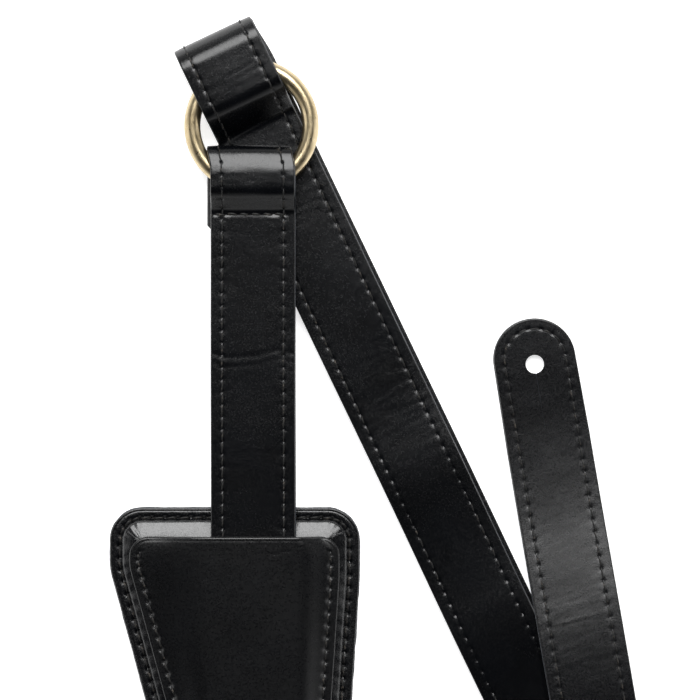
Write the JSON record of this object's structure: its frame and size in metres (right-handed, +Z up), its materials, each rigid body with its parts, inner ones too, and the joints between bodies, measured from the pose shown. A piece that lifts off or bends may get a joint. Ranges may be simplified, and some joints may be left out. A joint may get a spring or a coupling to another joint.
{
  "type": "leather instrument strap",
  "caption": "Black two-layer leather instrument strap with a sliding shoulder pad, a brass ring and a doubled adjusting strap ending in a button-hole tail.",
  "frame": {"origin": "on the floor under the middle of the shoulder pad, on the main strap's centre line, with the strap laid out flat", "axes": "+Z up; +Y along the main strap from the pad to the ring; +X towards the adjusting strap"},
  "size_m": [0.1984, 0.6395, 0.0175],
  "materials": {
    "face_leather": "satin",
    "lining_leather": "satin",
    "pad_leather": "satin",
    "thread": "waxed",
    "foam": "matt",
    "brass": "polished"
  },
  "bodies": {
    "main_strap": {"main_strap_face": "face_leather", "main_strap_lining": "lining_leather", "main_strap_needle_thread": "thread", "main_strap_bobbin_thread": "thread", "loop_seam_needle_thread": "thread", "loop_seam_bobbin_thread": "thread"},
    "pad": {"pad_base": "pad_leather", "pad_padding": "foam", "pad_top": "pad_leather", "tunnel_cover": "pad_leather", "pad_edge_needle_thread": "thread", "pad_edge_bobbin_thread": "thread", "cover_left_needle_thread": "thread", "cover_right_needle_thread": "thread", "cover_left_bobbin_thread": "thread", "cover_right_bobbin_thread": "thread"},
    "adjusting_strap": {"adjusting_strap_face": "face_leather", "adjusting_strap_lining": "lining_leather", "adjusting_strap_needle_thread": "thread", "adjusting_strap_bobbin_thread": "thread"},
    "ring": {"ring": "brass"}
  },
  "joints": [
    {"name": "pad_slide", "type": "slide", "parent": "main_strap", "child": "pad", "axis": [0, 1, 0], "range_m": [-0.06, 0.012]},
    {"name": "adjusting_swing", "type": "hinge", "parent": "main_strap", "child": "adjusting_strap", "pos_m": [-0.0005, 0.256, 0], "axis": [0, 0, 1], "range_deg": [-3, 12]},
    {"name": "ring_spin", "type": "hinge", "parent": "adjusting_strap", "child": "ring", "pos_m": [-0.0005, 0.256, 0], "axis": [0, 0, 1], "continuous": true}
  ]
}
